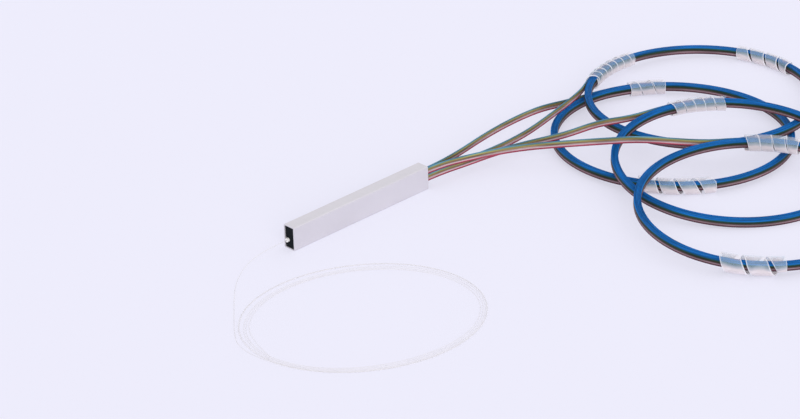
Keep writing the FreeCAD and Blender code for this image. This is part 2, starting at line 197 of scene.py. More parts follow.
def grid_piece(name: str, points: np.ndarray, uv: np.ndarray,
               material: bpy.types.Material) -> bpy.types.Object:
    """Make a closed, capped skin from rings of points.

    Vertex i of ring j is joined to vertex i + 1 of the same ring and to both in ring j + 1, and
    the first and last rings are closed by a cap each. The enclosed volume's sign tells whether
    the faces point outwards, and they are turned where they don't.

    Args:
        name: the piece's name.
        points: ring, place in the ring, coordinate.
        uv: two surface coordinates for each point, in the same order.
        material: its finish.

    Returns:
        The new object, at the origin, with its place in its mesh.
    """
    rings, around = points.shape[:2]
    index = np.arange(rings * around).reshape(rings, around)
    beside = np.roll(index, -1, axis=1)
    quads = np.stack([index[:-1], beside[:-1], beside[1:], index[1:]], axis=-1).reshape(-1, 4)
    caps = [index[0, ::-1].tolist(), index[-1].tolist()]
    flat = points.reshape(-1, 3)
    a, b, c, d = (flat[quads[:, k]] for k in range(4))
    volume = (a * np.cross(b, c)).sum() + (a * np.cross(c, d)).sum()
    if volume < 0:
        quads = quads[:, ::-1]
        caps = [cap[::-1] for cap in caps]
    mesh = bpy.data.meshes.new(name)
    mesh.from_pydata(flat.tolist(), [], quads.tolist() + caps)
    corners = np.empty(len(mesh.loops), dtype=np.int64)
    mesh.loops.foreach_get("vertex_index", corners)
    layer = mesh.uv_layers.new(name=SURFACE)
    layer.data.foreach_set("uv", uv.reshape(-1, 2)[corners].ravel())
    mesh.polygons.foreach_set("use_smooth", np.ones(len(mesh.polygons), dtype=bool))
    mesh.materials.append(material)
    return place_in_scene(name, mesh)


# ---------------------------------------------------------------- node trees


@dataclass
class Tree:
    """A hand that lays out one node tree."""

    tree: bpy.types.NodeTree

    def add(self, kind: str, **settings: object) -> bpy.types.Node:
        """Add a node.

        Args:
            kind: its type, without the leading "ShaderNode".
            settings: attributes to set on it.

        Returns:
            The node.
        """
        node = self.tree.nodes.new("ShaderNode" + kind)
        for key, value in settings.items():
            setattr(node, key, value)
        return node

    def feed(self, target: Socket, source: Source) -> None:
        """Link a node's output to an input, or set the input to a plain value.

        Args:
            target: the input.
            source: the output or the plain value.
        """
        if isinstance(source, Socket):
            self.tree.links.new(source, target)
        else:
            target.default_value = source

    def wire(self, kind: str, inputs: dict[int | str, Source], output: int = 0,
             **settings: object) -> Socket:
        """Add a node and feed it.

        Args:
            kind: its type, without the leading "ShaderNode".
            inputs: what feeds each input, by the input's number or name.
            output: number of the output that is wanted.
            settings: attributes to set on the node first.

        Returns:
            The wanted output.
        """
        node = self.add(kind, **settings)
        for key, source in inputs.items():
            self.feed(node.inputs[key], source)
        return node.outputs[output]

    def noise(self, vector: Source, scale: Source, detail: float = 3.0) -> Socket:
        """Value of a noise pattern."""
        return self.wire("TexNoise", {"Vector": vector, "Scale": scale, "Detail": detail})

    def remap(self, value: Source, low: Source, high: Source,
              start: Source = 0.0, end: Source = 1.0) -> Socket:
        """Carry a value from the range start to end over to the range low to high."""
        return self.wire("MapRange", dict(enumerate((value, start, end, low, high))))

    def math(self, operation: str, *values: Source) -> Socket:
        """Work out one value from others."""
        return self.wire("Math", dict(enumerate(values)), operation=operation)

    def stretch(self, vector: Source, scale: Point) -> Socket:
        """Scale coordinates along each axis."""
        return self.wire("Mapping", {"Vector": vector, "Scale": scale})

    def bump(self, height: Source, strength: Source, distance: float) -> Socket:
        """Turn a height into a normal."""
        return self.wire("Bump", {"Height": height, "Strength": strength, "Distance": distance})

    def split(self, vector: Source) -> tuple[Socket, ...]:
        """Take a vector apart into its three coordinates."""
        node = self.wire("SeparateXYZ", {0: vector}).node
        return tuple(node.outputs)

    def mix(self, share: Source, first: Socket | Colour, second: Socket | Colour) -> Socket:
        """Blend two colours.

        Args:
            share: 0 for the first colour, 1 for the second.
            first: an output, or a plain colour.
            second: an output, or a plain colour.

        Returns:
            The blended colour.
        """
        first, second = ((*c, 1.0) if isinstance(c, tuple) else c for c in (first, second))
        return self.wire("Mix", {0: share, 6: first, 7: second}, output=2, data_type="RGBA")

    def bands(self, place: Source, colours: list[Colour]) -> Socket:
        """Colour equal bands, with a sharp change between each two.

        Args:
            place: the place across the bands, from 0 to 1.
            colours: the bands' colours, in order.

        Returns:
            The colour at the place.
        """
        ramp = self.add("ValToRGB")
        ramp.color_ramp.interpolation = "CONSTANT"
        stops = ramp.color_ramp.elements
        for k, colour in enumerate(colours):
            stop = stops[k] if k < 2 else stops.new(k / len(colours))
            stop.position = k / len(colours)
            stop.color = (*colour, 1.0)
        self.feed(ramp.inputs[0], place)
        return ramp.outputs["Color"]

    def seen_directly(self) -> Socket:
        """Mask what is seen straight, mirrored or through glass, and not by its light alone.

        Returns:
            1 for such a look and 0 for scattered light.
        """
        paths = self.add("LightPath")
        mask = paths.outputs["Is Camera Ray"]
        for ray in ("Is Glossy Ray", "Is Transmission Ray"):
            mask = self.math("MAXIMUM", mask, paths.outputs[ray])
        return mask


@dataclass(frozen=True)
class SocketSpec:
    """One socket of a shared node group."""

    name: str
    kind: str = "Float"
    default: float | None = None


def new_group(name: str, inputs: list[SocketSpec],
              outputs: list[SocketSpec]) -> tuple[Tree, bpy.types.Node, bpy.types.Node]:
    """Start a shared node group.

    Args:
        name: the group's name.
        inputs: its inputs.
        outputs: its outputs.

    Returns:
        The hand on its tree, its input node and its output node.
    """
    group = bpy.data.node_groups.new(name, "ShaderNodeTree")
    for in_out, specs in (("INPUT", inputs), ("OUTPUT", outputs)):
        for spec in specs:
            socket = group.interface.new_socket(name=spec.name, in_out=in_out,
                                                socket_type="NodeSocket" + spec.kind)
            if spec.default is not None:
                socket.default_value = spec.default
    return Tree(group), group.nodes.new("NodeGroupInput"), group.nodes.new("NodeGroupOutput")


@dataclass(frozen=True)
class Coating:
    """Colour of one fibre's coating, as a painted lit copy and a painted shaded copy of it."""

    # painted lit copy: paler, as if backlit through a lone strip
    single: Colour
    # painted shaded copy: deeper, for the coil's sides in shade where many strips lie face to face
    wound: Colour


# Each fibre's colour as a painted lit copy and a painted shaded copy.
COATINGS = [                  # from the bottom fibre of a ribbon to its top one
    Coating(single=(0.26, 0.05, 0.08), wound=(0.070, 0.030, 0.045)),
    Coating(single=(0.40, 0.08, 0.12), wound=(0.150, 0.070, 0.090)),
    Coating(single=(0.52, 0.39, 0.42), wound=(0.260, 0.180, 0.200)),
    Coating(single=(0.32, 0.25, 0.25), wound=(0.100, 0.070, 0.075)),
    Coating(single=(0.22, 0.14, 0.08), wound=(0.035, 0.032, 0.022)),
    Coating(single=(0.30, 0.24, 0.09), wound=(0.020, 0.045, 0.028)),
    Coating(single=(0.24, 0.30, 0.14), wound=(0.015, 0.080, 0.095)),
    Coating(single=(0.09, 0.22, 0.31), wound=(0.006, 0.116, 0.375)),
]


def lit_and_shaded_fibre_colours_group() -> bpy.types.NodeTree:
    """Build the group that gives the eight fibre colours across a ribbon.

    A lone strip is translucent, and its colours are painted pale, as painted light coming through it.
    Where many lie face to face, the same colours are painted deep, as painted shade on the
    coil's sides.

    Returns:
        A group with the place across the ribbon (0 at the bottom, 1 at the top), a share from the
        painted lit colours of a lone strip (0) to the painted shaded ones of close winding (1) and a
        mottle mask as inputs, and the colour as output.
    """
    tree, given, result = new_group("lit_and_shaded_fibre_colours",
                                    [SocketSpec("Across"), SocketSpec("Wound"), SocketSpec("Mottle")],
                                    [SocketSpec("Color", "Color")])
    # Painted lit copies of the colours, then painted shaded copies, blended by the share in the turns
    single = tree.bands(given.outputs["Across"], [coating.single for coating in COATINGS])
    wound = tree.bands(given.outputs["Across"], [coating.wound for coating in COATINGS])
    brightness = tree.remap(given.outputs["Mottle"], low=0.62, high=1.38, start=0.35, end=0.65)
    colour = tree.mix(given.outputs["Wound"], single, wound)
    streaks = tree.wire("HueSaturation", {"Value": brightness, "Color": colour})
    tree.feed(result.inputs["Color"], streaks)
    return tree.tree


def grain_group() -> bpy.types.NodeTree:
    """Build the group that gives a fine uneven grain, its bumps 0.1 mm high at full depth.

    Returns:
        A group with coordinates, fineness of the grain and depth as inputs, and a value from 0
        to 1 and a normal as outputs.
    """
    tree, given, result = new_group(
        "fine_grain",
        [SocketSpec("Vector", "Vector"), SocketSpec("Scale", default=1000.0),
         SocketSpec("Depth", default=0.1)],
        [SocketSpec("Value"), SocketSpec("Normal", "Vector")])
    value = tree.noise(given.outputs["Vector"], given.outputs["Scale"])
    tree.feed(result.inputs["Value"], value)
    tree.feed(result.inputs["Normal"], tree.bump(value, given.outputs["Depth"], distance=0.0001))
    return tree.tree


def draw_lines_group() -> bpy.types.NodeTree:
    """Build the group that gives faint drawing lines along X, far finer across than along.

    Returns:
        A group with coordinates as input and a value from 0 to 1 as output.
    """
    tree, given, result = new_group("draw_lines", [SocketSpec("Vector", "Vector")], [SocketSpec("Value")])
    along = tree.stretch(given.outputs["Vector"], (60.0, 2600.0, 2600.0))
    tree.feed(result.inputs["Value"], tree.noise(along, 1.0))
    return tree.tree


@dataclass
class Groups:
    """The shared node groups, each built once."""

    lit_and_shaded_fibre_colours: bpy.types.NodeTree = field(default_factory=lit_and_shaded_fibre_colours_group)
    fine_grain: bpy.types.NodeTree = field(default_factory=grain_group)
    draw_lines: bpy.types.NodeTree = field(default_factory=draw_lines_group)


# ---------------------------------------------------------------- finishes


@dataclass
class Sheet:
    """One material while it is laid out: its tree, its shader and the shared groups."""

    name: str
    groups: Groups

    def __post_init__(self) -> None:
        """Start the material with a bare shader and its output."""
        self.material = bpy.data.materials.new(self.name)
        self.material.use_nodes = True
        self.material.node_tree.nodes.clear()
        self.tree = Tree(self.material.node_tree)
        self.shader = self.tree.add("BsdfPrincipled")
        output = self.tree.add("OutputMaterial")
        self.tree.feed(output.inputs["Surface"], self.shader.outputs[0])

    def place(self, group: bpy.types.NodeTree, **inputs: Source) -> bpy.types.Node:
        """Place a shared group.

        Args:
            group: the group.
            inputs: what feeds its inputs.

        Returns:
            The node that stands for it.
        """
        node = self.tree.add("Group", node_tree=group)
        for key, source in inputs.items():
            self.tree.feed(node.inputs[key], source)
        return node

    def grain(self, vector: Source, scale: float, depth: float) -> tuple[Socket, Socket]:
        """Place the fine grain.

        Args:
            vector: the coordinates that it lies on.
            scale: how fine it is, in waves a metre.
            depth: strength of its bumps.

        Returns:
            Its value and its normal.
        """
        node = self.place(self.groups.fine_grain, Vector=vector, Scale=scale, Depth=depth)
        return node.outputs["Value"], node.outputs["Normal"]

    def patches(self, vector: Source, scale: float, dark: Socket | Colour, light: Socket | Colour) -> Socket:
        """Blend two colours in soft patches, so many of them a metre."""
        return self.tree.mix(self.tree.noise(vector, scale), dark, light)

    def object_place(self) -> Socket:
        """Coordinates in the object's own frame."""
        return self.tree.add("TexCoord").outputs["Object"]

    def surface_place(self) -> tuple[Socket, Socket, Socket]:
        """The piece's own surface coordinates.

        Returns:
            Both together, the first and the second.
        """
        both = self.tree.add("UVMap", uv_map=SURFACE).outputs[0]
        first, second, _ = self.tree.split(both)
        return both, first, second

    def set(self, **values: Source) -> None:
        """Feed the shader's sockets, with spaces written as underscores."""
        for key, source in values.items():
            self.tree.feed(self.shader.inputs[key.replace("_", " ")], source)


class Finish(ABC):
    """What all finishes share: a name, and a sheet that each lays out in its own way.

    Several have the same fields. The grain and the soft patches (mottle or worn) are counted in
    waves a metre, and depth is the strength of the grain's bumps. The least and the greatest
    roughness are smooth and rough, and shine is the level of the plain gloss.
    """

    name: str

    @abstractmethod
    def lay_out(self, sheet: Sheet) -> None:
        """Lay out this finish's nodes."""

    def material(self, groups: Groups) -> bpy.types.Material:
        """Make the finish's material.

        Args:
            groups: the shared node groups.

        Returns:
            The material.
        """
        sheet = Sheet(self.name, groups)
        self.lay_out(sheet)
        return sheet.material


@dataclass(frozen=True)
class RibbonFinish(Finish):
    """Eight coloured fibres under a clear coat, across the strip."""

    name: str = "ribbon_of_eight"
    mottle: Point = (70.0, 3.0, 1.0)
    grain: float = 2500.0
    depth: float = 0.06
    smooth: float = 0.42
    rough: float = 0.58
    shine: float = 0.07

    def lay_out(self, sheet: Sheet) -> None:
        """Lay the colours across the strip, on its own coordinates: painted shaded copies in the turns,
        painted lit ones on the lead.

        Args:
            sheet: the sheet to fill.
        """
        both, _, across = sheet.surface_place()
        mottle = sheet.tree.noise(sheet.tree.stretch(both, self.mottle), 1.0)
        # Share of the painted shaded colours: 0 on the lead, 1 in the turns
        wound = sheet.tree.add("Attribute", attribute_name=WOUND_SHADE).outputs["Fac"]
        colours = sheet.place(sheet.groups.lit_and_shaded_fibre_colours, Across=across, Wound=wound, Mottle=mottle)
        value, normal = sheet.grain(sheet.object_place(), self.grain, self.depth)
        sheet.set(Base_Color=colours.outputs["Color"], Normal=normal, Specular_IOR_Level=self.shine,
                  Roughness=sheet.tree.remap(value, self.smooth, self.rough))


@dataclass(frozen=True)
class RibbonEndFinish(Finish):
    """The same eight colours on the short flat pieces inside the tube."""

    row: Row
    bottom: float
    width: float
    mottle: Point = (300.0, 900.0, 900.0)
    grain: float = 2500.0
    depth: float = 0.1
    smooth: float = 0.32
    rough: float = 0.5

    @property
    def name(self) -> str:
        """The finish's name, after its row."""
        return f"ribbon_end_{self.row.value}"

    def lay_out(self, sheet: Sheet) -> None:
        """Lay the colours over the height above the row's lowest fibre.

        Args:
            sheet: the sheet to fill.
        """
        place = sheet.object_place()
        _, _, height = sheet.tree.split(place)
        across = sheet.tree.remap(height, 0.0, 1.0, self.bottom, self.bottom + self.width)
        mottle = sheet.tree.noise(sheet.tree.stretch(place, self.mottle), 1.0)
        # The pieces inside the tube take the painted lit copies of the colours.
        colours = sheet.place(sheet.groups.lit_and_shaded_fibre_colours, Across=across, Wound=0.0, Mottle=mottle)
        value, normal = sheet.grain(place, self.grain, self.depth)
        sheet.set(Base_Color=colours.outputs["Color"], Normal=normal,
                  Roughness=sheet.tree.remap(value, self.smooth, self.rough))


@dataclass(frozen=True)
class WrapFinish(Finish):
    """Milky plastic strip, clearer on top where it touches the fibres and painted with their colour there,
    with a painted highlight at its cut edges.

    Attributes:
        near: its tint over the fibres: their colour seen through it, painted into its own.
        away: its tint on both sides of them.
        edge_highlight: painted highlight on the cut edges, for light scattered in the plastic.
        clear: how much of it hides what is behind, on top.
        milky: the same at the sides.
        edge: the same at the cut edges.
        highlight_rim: share of the strip's width that an edge's painted highlight takes.
        cloud: how far uneven patches shift the clear part, in the sine of the turns.
        cloud_scale: how fine those patches are, in waves a metre.
        sine_end: the sine of the turns from which the strip is fully clear.
        crest_highlight_start: the sine from which the tint pales again, right on top, as a painted highlight.
        crest_highlight_end: the sine at which it is gone.
    """

    name: str = "milky_strip"
    near: Colour = (0.46, 0.64, 0.78)
    away: Colour = (0.78, 0.72, 0.74)
    edge_highlight: Colour = (0.86, 0.86, 0.90)
    clear: float = 0.33
    milky: float = 0.82
    edge: float = 0.90
    highlight_rim: float = 0.07
    cloud: float = 0.12
    cloud_scale: float = 250.0
    sine_end: float = 0.55
    crest_highlight_start: float = 0.86
    crest_highlight_end: float = 0.98
    grain: float = 900.0
    depth: float = 0.03
    smooth: float = 0.25
    rough: float = 0.40

    def lay_out(self, sheet: Sheet) -> None:
        """Lay the milk over the strip's own coordinates.

        The first counts the turns round the bundle, from its outer side, so that its sine is 1 on
        top. The strip touches the fibres on both sides of that, and their colour seen through it is
        painted into it there; right on top that tint pales again as a painted highlight. The second
        is 0 and 1 at the cut edges, which take a painted highlight. Only the skin that faces the eye
        is milky, so that each wall counts once.

        Args:
            sheet: the sheet to fill.
        """
        tree = sheet.tree
        _, turns, across = sheet.surface_place()
        place = sheet.object_place()
        value, normal = sheet.grain(place, self.grain, self.depth)
        height = tree.math("SINE", tree.math("MULTIPLY", turns, 2 * math.pi))
        cloud = tree.remap(tree.noise(place, self.cloud_scale), -self.cloud, self.cloud, start=0.3, end=0.7)
        uneven = tree.math("ADD", height, cloud)
        # Painted light: the fibres' colour seen through the strip where it touches them, paling to a painted
        # highlight right on top.
        touch = tree.remap(uneven, 0.0, 1.0, 0.0, self.sine_end)
        crest_highlight = tree.remap(uneven, 1.0, 0.0, self.crest_highlight_start, self.crest_highlight_end)
        painted_tint_share = tree.math("MULTIPLY", touch, crest_highlight)
        # Painted highlight along the cut edges, for light scattered in the plastic; the same band is also
        # more opaque.
        highlight_rim = tree.math("MAXIMUM", tree.remap(across, 1.0, 0.0, 0.0, self.highlight_rim),
                        tree.remap(across, 0.0, 1.0, 1.0 - self.highlight_rim, 1.0))
        milk = tree.remap(highlight_rim, tree.remap(touch, self.milky, self.clear), self.edge)
        behind = tree.add("NewGeometry").outputs["Backfacing"]
        body = tree.mix(painted_tint_share, self.away, self.near)
        sheet.set(Base_Color=tree.mix(highlight_rim, body, self.edge_highlight), Alpha=tree.remap(behind, milk, 0.0),
                  Normal=normal, Roughness=tree.remap(value, self.smooth, self.rough))


@dataclass(frozen=True)
class MetalFinish(Finish):
    """Satin drawn metal with faint lines along the tube."""

    name: str = "satin_metal"
    dark: Colour = (0.665, 0.645, 0.685)
    light: Colour = (0.725, 0.705, 0.745)
    metallic: float = 0.6
    grain: float = 3000.0
    depth: float = 0.12
    worn: float = 160.0
    smooth: float = 0.44
    rough: float = 0.58

    def lay_out(self, sheet: Sheet) -> None:
        """Lay the lines and soft patches over the tube's own frame.

        Args:
            sheet: the sheet to fill.
        """
        place = sheet.object_place()
        lines = sheet.place(sheet.groups.draw_lines, Vector=place).outputs["Value"]
        _, normal = sheet.grain(place, self.grain, self.depth)
        worn = sheet.patches(place, self.worn, self.dark, self.light)
        bright = sheet.tree.remap(lines, low=0.0, high=0.5, start=0.35, end=0.75)
        sheet.set(Base_Color=sheet.tree.mix(bright, worn, self.light), Metallic=self.metallic, Normal=normal,
                  Roughness=sheet.tree.remap(lines, self.smooth, self.rough, start=0.3, end=0.7))


@dataclass(frozen=True)
class PlasticFinish(Finish):
    """A moulded or poured plastic, rubber or resin with a fine uneven grain."""

    name: str
    dark: Colour
    light: Colour
    smooth: float
    rough: float
    alpha: float = 1.0
    shine: float = 0.5
    worn: float = 400.0
    grain: float = 1500.0
    depth: float = 0.15

    def lay_out(self, sheet: Sheet) -> None:
        """Lay soft patches and the grain over the object's own frame.

        Args:
            sheet: the sheet to fill.
        """
        place = sheet.object_place()
        value, normal = sheet.grain(place, self.grain, self.depth)
        sheet.set(Base_Color=sheet.patches(place, self.worn, self.dark, self.light), Normal=normal,
                  Alpha=self.alpha, Specular_IOR_Level=self.shine,
                  Roughness=sheet.tree.remap(value, self.smooth, self.rough))


@dataclass(frozen=True)
class GlassFinish(Finish):
    """Ground and polished glass of the chip, the arrays and the bare fibres."""

    name: str
    tint: Colour
    smooth: float
    rough: float
    pale: Colour = (0.93, 0.96, 0.96)
    worn: float = 500.0
    grain: float = 4000.0
    depth: float = 0.05
    clear: float = 0.8
    bending: float = 1.46

    def lay_out(self, sheet: Sheet) -> None:
        """Lay soft patches and the grain over the object's own frame.

        Args:
            sheet: the sheet to fill.
        """
        place = sheet.object_place()
        value, normal = sheet.grain(place, self.grain, self.depth)
        sheet.set(Base_Color=sheet.patches(place, self.worn, self.tint, self.pale), Normal=normal,
                  Transmission_Weight=self.clear, IOR=self.bending,
                  Roughness=sheet.tree.remap(value, self.smooth, self.rough))


@dataclass(frozen=True)
class FloorFinish(Finish):
    """A pale matt floor.

    Seen directly, a share of it is plain colour, so that the shadows on it stay faint.
    """

    name: str = "pale_floor"
    colour: Colour = (0.84, 0.835, 0.955)
    lighter: float = 1.01
    worn: float = 6.0
    plain: float = 0.6
    rough: float = 0.9
    shine: float = 0.1

    def lay_out(self, sheet: Sheet) -> None:
        """Lay soft patches over the floor, and the plain share where it is seen directly.

        Args:
            sheet: the sheet to fill.
        """
        light = tuple(self.lighter * part for part in self.colour)
        colour = sheet.patches(sheet.object_place(), self.worn, self.colour, light)
        seen = sheet.tree.seen_directly()
        dimmed = sheet.tree.mix(self.plain, colour, (0.0, 0.0, 0.0))
        sheet.set(Base_Color=sheet.tree.mix(seen, colour, dimmed), Roughness=self.rough,
                  Specular_IOR_Level=self.shine, Emission_Color=colour,
                  Emission_Strength=sheet.tree.remap(seen, 0.0, self.plain))


# ---------------------------------------------------------------- coils, ribbons and wraps


@dataclass
class Ring:
    """The slightly oval line that a coil's turns follow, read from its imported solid.

    Attributes:
        node: the coil's node.
        oval: what its long half-axis has over its mean radius, and its short one under it.
        long_axis: direction of its long axis.
    """

    node: str
    oval: float
    long_axis: float

    def __post_init__(self) -> None:
        """Take the middle of the ring's box, its flattest direction, its mean radius and its width."""
        points = coordinates(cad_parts[self.node].data)
        self.centre = (points.min(axis=0) + points.max(axis=0)) / 2
        offset = points - self.centre
        self.normal = np.linalg.svd(offset, full_matrices=False)[2][2]
        self.normal *= np.sign(self.normal[2])
        height = offset @ self.normal
        reach = np.linalg.norm(offset - np.outer(height, self.normal), axis=1)
        self.radius = (reach.min() + reach.max()) / 2
        self.width = reach.max() - reach.min() - 2 * self.oval

    def reach(self, angle: np.ndarray, outward: np.ndarray | float) -> np.ndarray:
        """Distance from the centre to the oval grown outwards, at angles in radians."""
        return oval_reach(self.radius + self.oval + outward, self.radius - self.oval + outward,
                          self.long_axis, angle)

    def point(self, angle: np.ndarray, reach: np.ndarray, lift: np.ndarray) -> np.ndarray:
        """Find points round the ring.

        The place in plan is the centre plus the reach along the angle. The height is that of the
        ring's plane there, plus the lift.

        Args:
            angle: angles in radians, seen from above.
            reach: distances from the centre in plan.
            lift: heights above the ring's plane.

        Returns:
            One point for each angle.
        """
        x, y = reach * np.cos(angle), reach * np.sin(angle)
        z = -(self.normal[0] * x + self.normal[1] * y) / self.normal[2] + lift
        return np.stack([x, y, z], axis=-1) + self.centre


@dataclass
class SpiralWrap:
    """A milky strip wound round the turns of one coil, cut square across it at both ends.

    Attributes:
        letter: the wrap's letter.
        first: angle round the coil at its first end.
        last: the same at its last end.
        outer: radius of its outer face round the bundle's middle.
        pitch: travel along the ring in one turn.
        share: share of the pitch that is strip and not slit.
        phase: share of a turn by which it starts further round the bundle.
        wall: its thickness.
        tip: width that the square cut leaves at each end.
        round_off: radius of its long edges.
        sway: slow shift of its edges along the ring, as a share of the pitch.
        sway_rate: waves of that in one turn.
        squash: how much its radius gives way over the bundle's sides.
        sides: of the bundle.
        uneven: slow change of its radius.
        uneven_rate: waves of that in one turn.
        steps: sections in one turn.
    """

    letter: str
    first: float
    last: float
    outer: float
    pitch: float
    share: float
    phase: float = 0.0
    wall: float = 0.00035
    tip: float = 0.0012
    round_off: float = 0.00008
    sway: float = 0.025
    sway_rate: float = 1.3
    squash: float = 0.00007
    sides: int = 4
    uneven: float = 0.00004
    uneven_rate: float = 0.9
    steps: int = 40

    def outline(self) -> np.ndarray:
        """Section of the strip, its faces lying across the bundle's radius.

        A rectangle with round corners, given by quarter circles of three points each.

        Returns:
            Three rows: 0 at the near edge and 1 at the far one, the offset from that edge along
            the ring, and the depth under the outer face.
        """
        corner = np.radians([0.0, 45.0, 90.0])
        middles = [(1, -1, self.wall - self.round_off, 0.0), (0, 1, self.wall - self.round_off, 90.0),
                   (0, 1, self.round_off, 180.0), (1, -1, self.round_off, 270.0)]
        rows = [np.stack([np.full(3, edge),
                          self.round_off * (inward + np.cos(corner + math.radians(turn))),
                          depth + self.round_off * np.sin(corner + math.radians(turn))])
                for edge, inward, depth, turn in middles]
        return np.hstack(rows)

    def build(self, number: int, ring: Ring, material: bpy.types.Material) -> bpy.types.Object:
        """Make the strip's skin.

        A point goes round the bundle by the spin and along the ring by the travel. The strip's
        near edge travels the pitch times the turns so far, with a slow sway, and its far edge a
        band further. Both are kept between the square cuts at the two ends. The distance from the
        bundle's middle is the outer radius, a little less over the flat sides and a little more
        over the corners, less the depth in the strip.

        Args:
            number: the coil's number.
            ring: the coil's ring.
            material: the strip's finish.

        Returns:
            The new piece.
        """
        length = math.radians(abs(self.last - self.first)) * ring.radius
        band = self.pitch * self.share
        low, high = (self.tip - band) / self.pitch, (length - self.tip) / self.pitch
        turn = np.linspace(low, high, round(self.steps * (high - low)))[:, None]
        spin = 2 * math.pi * (turn + self.phase)
        edge, beside, inwards = self.outline()[:, None, :]
        sway = self.sway * self.pitch * np.sin(self.sway_rate * spin + self.first)
        near = np.clip(self.pitch * turn + sway, 0.0, length - self.tip)
        far = np.clip(self.pitch * turn + sway + band, self.tip, length)
        travel = near + (far - near) * edge + beside
        outer = self.outer - self.squash * np.cos(self.sides * spin)
        radius = outer + self.uneven * np.sin(self.uneven_rate * spin + self.last) - inwards
        angle = np.radians(self.first + (self.last - self.first) * travel / length)
        reach = ring.reach(angle, 0.0) + radius * np.cos(spin)
        above = (radius * np.sin(spin))[..., None] * ring.normal
        points = ring.point(angle, reach, np.zeros_like(angle)) + above
        uv = np.stack(np.broadcast_arrays(turn + self.phase, (travel - near) / (far - near)), axis=-1)
        name = f"spiral_strip_{number}_{self.letter}"
        piece = grid_piece(name, points, uv, material)
        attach(piece, BODY)
        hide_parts(f"coil_{number}_wrap_{self.letter}")
        log.info("%s: %.1f turns, %d faces", name, high - low, len(piece.data.polygons))
        return piece


@dataclass
class Ribbon:
    """One flat ribbon of eight fibres: its free lead, then its turns, all one strip.

    Attributes:
        number: the ribbon's number.
        oval: what its coil's long half-axis has over the mean radius.
        long_axis: direction of that half-axis.
        free: points of the lead between its first and last straight runs.
        join: angle round the coil where the lead touches it.
        lift: how far the lead's last corner rides above that touching point.
        wraps: the strips wound round its turns.
        loosest: how far the innermost turns stand off between the wraps.
        width: of the strip.
        thickness: of the strip.
        groove: its depth between two fibres.
        fibres: in the strip.
        fibre_pitch: between two fibres.
        rounding: shares of the half-thickness at the strip's edge and next to it.
        turns: beyond the first one.
        winding: which way the turns go.
        straight_out: first straight run of the lead.
        approach: last straight run of the lead.
        closing: how long before the join the colours deepen into their painted shaded copies.
        leaning: how long before the join the strip starts to lean with its coil.
        ripple: how far the turns ride up and down between the wraps.
        ripple_rate: waves of that in one turn.
        hidden_end: how far past the last whole turn the strip runs.
        points_per_turn: control points in one turn.
        samples: points read from each stretch of the line.
        declared: the diameter that it is declared with, between its thickness and its width. Not used.
    """

    number: int
    oval: float
    long_axis: float
    free: list[Point]
    join: float
    lift: float
    wraps: list[SpiralWrap]
    loosest: float = 0.0002
    width: float = 0.0021
    thickness: float = 0.00032
    groove: float = 0.00003
    fibres: int = 8
    fibre_pitch: float = 0.00025
    rounding: Plan = (0.4, 0.78)
    turns: int = 6
    winding: Winding = Winding.CLOCKWISE
    straight_out: float = 0.006
    approach: float = 0.010
    closing: float = 0.010
    leaning: float = 0.020
    ripple: float = 0.00005
    ripple_rate: float = 2.3
    hidden_end: float = 26.0
    points_per_turn: int = 24
    samples: int = 4
    declared: float = 0.0009

    def __post_init__(self) -> None:
        """Read where the ribbon leaves the tube, its ring, and how far out the first turn lies."""
        low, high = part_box(f"ribbon_{self.number}_inner_end")
        self.exit = np.array([high.x, (low.y + high.y) / 2, (low.z + high.z) / 2])
        self.ring = Ring(f"ribbon_{self.number}_coil", self.oval, self.long_axis)
        self.outermost = (self.ring.width - self.thickness) / 2

    def turn_points(self) -> np.ndarray:
        """Control points of the wound part.

        The first turn lies just inside the ring's outer face. The reach falls by one strip's share
        of the ring's width in each turn, and the innermost turns stand off a little more between
        the wraps, by a share that grows with the square of the turns so far. Each reach is divided
        by the cosine of half a step, because the smooth line passes inside its control points by
        that much.

        Returns:
            The control points, from where the lead touches the coil to the hidden end.
        """
        pitch = self.ring.width / (self.turns + 1)
        wound = math.radians(360.0 * self.turns + self.hidden_end)
        gone = np.linspace(0.0, wound, round(self.points_per_turn * wound / (2 * math.pi)))
        angle = math.radians(self.join) + self.winding.value * gone
        held = [math.radians((wrap.first + wrap.last) / 2) for wrap in self.wraps]
        free = np.prod([np.sin((angle - place) / 2) ** 2 for place in held], axis=0)
        outward = self.outermost - pitch * gone / (2 * math.pi)
        outward -= self.loosest * (gone / wound) ** 2 * free
        reach = self.ring.reach(angle, outward) / math.cos(math.pi / self.points_per_turn)
        lift = self.ripple * np.sin(self.ripple_rate * gone + self.number) * free
        return self.ring.point(angle, reach, lift)

    def line(self) -> tuple[np.ndarray, int]:
        """Lay out the whole route.

        The last straight run of the lead lies along the oval where it touches the coil.

        Returns:
            The points along the ribbon's middle, and how many control points its lead has.
        """
        angle = np.radians([self.join - self.winding.value, self.join])
        before, touch = self.ring.point(angle, self.ring.reach(angle, self.outermost), np.zeros(2))
        ahead = unit((touch - before) * (1.0, 1.0, 0.0))
        first_corner = self.exit + (self.straight_out, 0.0, 0.0)
        last_corner = touch - self.approach * ahead + (0.0, 0.0, self.lift)
        lead = [self.exit, first_corner, *map(np.array, self.free), last_corner]
        return smooth_line(np.vstack([*lead, self.turn_points()]), self.samples), len(lead)

    def section(self) -> tuple[np.ndarray, np.ndarray]:
        """Section of the strip, as places across its width and distances from its middle.

        The half-thickness is that of the strip less a groove between each two fibres: it follows
        the size of the sine of the place across, with one arch for each fibre. It falls off over
        the two outermost places.

        Returns:
            Two arrays, up one side of the strip and down the other.
        """
        half = self.fibres * self.fibre_pitch / 2
        inside = np.arange(1 - self.fibres, self.fibres) * self.fibre_pitch / 2
        arch = self.thickness / 2 - self.groove * (1 - np.abs(np.sin(math.pi * inside / self.fibre_pitch)))
        place = np.concatenate([[-self.width / 2, -half], inside, [half, self.width / 2]])
        share = np.concatenate([self.rounding, arch / (self.thickness / 2), self.rounding[::-1]])
        proud = share * self.thickness / 2
        return np.concatenate([place, place[::-1]]), np.concatenate([proud, -proud[::-1]])

